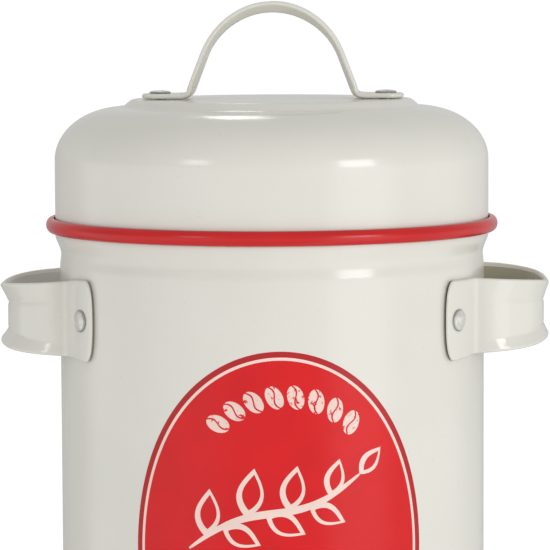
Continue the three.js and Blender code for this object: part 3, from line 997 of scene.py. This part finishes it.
def stage_floor():
    """Plain white floor, far wider than the view. Neither reflections nor bounced light see
    it: they see the studio's surroundings, as round a small table."""
    size = 200.0
    mesh = bpy.data.meshes.new("floor")
    corners = [(-size, -size, 0), (size, -size, 0), (size, size, 0), (-size, size, 0)]
    mesh.from_pydata(corners, [], [(0, 1, 2, 3)])
    material = bpy.data.materials.new("floor")
    material.use_nodes = True
    shader = material.node_tree.nodes["Principled BSDF"]
    shader.inputs["Base Color"].default_value = (0.9, 0.9, 0.9, 1)
    shader.inputs["Roughness"].default_value = 0.9
    shader.inputs["Specular IOR Level"].default_value = 0.0
    shader.inputs["Emission Color"].default_value = (1, 1, 1, 1)
    shader.inputs["Emission Strength"].default_value = 0.46
    mesh.materials.append(material)
    floor = bpy.data.objects.new("floor", mesh)
    floor.visible_glossy = False
    floor.visible_diffuse = False
    bpy.context.scene.collection.objects.link(floor)


# Brightness of the surroundings at eye level, by degrees from the front towards +X: a bright
# window at the front right, a softer one at the front left, even sides and a dim back
SURROUNDINGS = (
    (-180, 0.55),
    (-124, 0.45),
    (-104, 1.28),
    (-72, 1.24),
    (-60, 1.36),
    (-32, 1.36),
    (-18, 1.08),
    (26, 1.06),
    (38, 2.10),
    (58, 2.10),
    (74, 1.12),
    (108, 1.12),
    (134, 0.65),
    (180, 0.55),
)


def maths(tree, operation, first, second=0.0):
    node = tree.nodes.new("ShaderNodeMath")
    node.operation = operation
    for socket, value in zip(node.inputs, (first, second)):
        if isinstance(value, float):
            socket.default_value = value
        else:
            tree.links.new(value, socket)
    return node.outputs["Value"]


# Brightness of the ceiling, and how much it gains per unit of direction: up, towards the
# front or back, and towards +X
CEILING = 0.51
CEILING_UP = 0.10
CEILING_ALONG_Y = 0.12
CEILING_ALONG_X = 0.04
CEILING_EDGE = (-0.04, 0.10)

# The surroundings fade to this share of eye level between these two downward directions
LOW_SHARE = 0.62
LOW_EDGE = (-0.75, -0.14)


def studio_world():
    """Soft surroundings: panels of light round the tin at eye level, an even dim ceiling,
    and a darker underside."""
    world = bpy.data.worlds.new("studio")
    bpy.context.scene.world = world
    world.use_nodes = True
    tree = world.node_tree
    background = tree.nodes["Background"]
    coords = tree.nodes.new("ShaderNodeTexCoord")
    split = tree.nodes.new("ShaderNodeSeparateXYZ")
    tree.links.new(coords.outputs["Generated"], split.inputs["Vector"])
    x, y, z = (split.outputs[name] for name in "XYZ")

    turn = maths(tree, "ARCTAN2", x, maths(tree, "MULTIPLY", y, -1.0))
    ramp = tree.nodes.new("ShaderNodeValToRGB")
    ramp.color_ramp.interpolation = "EASE"
    brightest = max(level for _, level in SURROUNDINGS)
    stops = ramp.color_ramp.elements
    while len(stops) < len(SURROUNDINGS):
        stops.new(0.5)
    for stop, (angle, level) in zip(stops, SURROUNDINGS):
        stop.position = (angle + 180) / 360
        stop.color = (level / brightest,) * 3 + (1,)
    tree.links.new(ranged(tree, turn, -math.pi, math.pi, 0, 1), ramp.inputs["Fac"])
    eye_level = maths(tree, "MULTIPLY", ramp.outputs["Color"], brightest)

    along_y = maths(tree, "MULTIPLY", maths(tree, "ABSOLUTE", y), CEILING_ALONG_Y)
    along_x = maths(tree, "MULTIPLY", x, CEILING_ALONG_X)
    upward = maths(tree, "MULTIPLY", z, CEILING_UP)
    level = maths(tree, "ADD", along_x, CEILING)
    ceiling = maths(tree, "ADD", maths(tree, "ADD", along_y, upward), level)
    height = ranged(tree, z, *CEILING_EDGE, 0, 1)
    gap = maths(tree, "SUBTRACT", ceiling, eye_level)
    near_floor = maths(tree, "MULTIPLY", eye_level, ranged(tree, z, *LOW_EDGE, LOW_SHARE, 1))
    total = maths(tree, "ADD", near_floor, maths(tree, "MULTIPLY", gap, height))
    tree.links.new(total, background.inputs["Strength"])
    background.inputs["Color"].default_value = (1.0, 1.0, 1.0, 1)


def softbox(name, azimuth, elevation, distance, size, radiance):
    """An area light that faces the tin's upper half. The azimuth runs from the front
    towards +X; the radiance is per unit of white."""
    target = Vector((0, 0, 0.16))
    turn, lift = math.radians(azimuth), math.radians(elevation)
    away = Vector((math.sin(turn) * math.cos(lift), -math.cos(turn) * math.cos(lift), math.sin(lift)))
    lamp = bpy.data.lights.new(name, "AREA")
    lamp.shape = "RECTANGLE"
    lamp.size, lamp.size_y = size
    lamp.energy = radiance * math.pi * size[0] * size[1]
    light = bpy.data.objects.new(name, lamp)
    light.location = target + away * distance
    light.rotation_euler = away.to_track_quat("Z", "Y").to_euler()
    bpy.context.scene.collection.objects.link(light)


def studio_camera():
    """A long lens a little above the lid, aimed at the wall's upper part."""
    distance, height = 0.894, 0.223
    azimuth = math.radians(1.4)
    roll = math.radians(-0.26)
    aim = Vector((0.80 * MM, 0, 146.1 * MM))
    camera = bpy.data.cameras.new("camera")
    camera.sensor_width = 36.0
    camera.lens = 215.9
    camera.clip_start = 0.01
    holder = bpy.data.objects.new("camera", camera)
    holder.location = (distance * math.sin(azimuth), -distance * math.cos(azimuth), height)
    look = (holder.location - aim).to_track_quat("Z", "Y").to_matrix()
    holder.rotation_euler = (look @ Matrix.Rotation(roll, 3, "Z")).to_euler()
    bpy.context.scene.collection.objects.link(holder)
    bpy.context.scene.camera = holder


def studio():
    bpy.context.scene.view_settings.view_transform = "Standard"
    stage_floor()
    studio_world()
    softbox("softbox_right", azimuth=46, elevation=10.5, distance=1.5, size=(0.50, 0.42), radiance=6.6)
    softbox("softbox_left", azimuth=-38, elevation=15, distance=1.5, size=(0.34, 0.30), radiance=4.2)
    softbox("softbox_back", azimuth=186.6, elevation=44, distance=1.2, size=(0.11, 0.22), radiance=5.8)
    studio_camera()


studio()
body_wall()
base_panel()
side_handle("right", 1)
side_handle("left", -1)
lid_shell()
lid_handle()
rivets()
print_design()
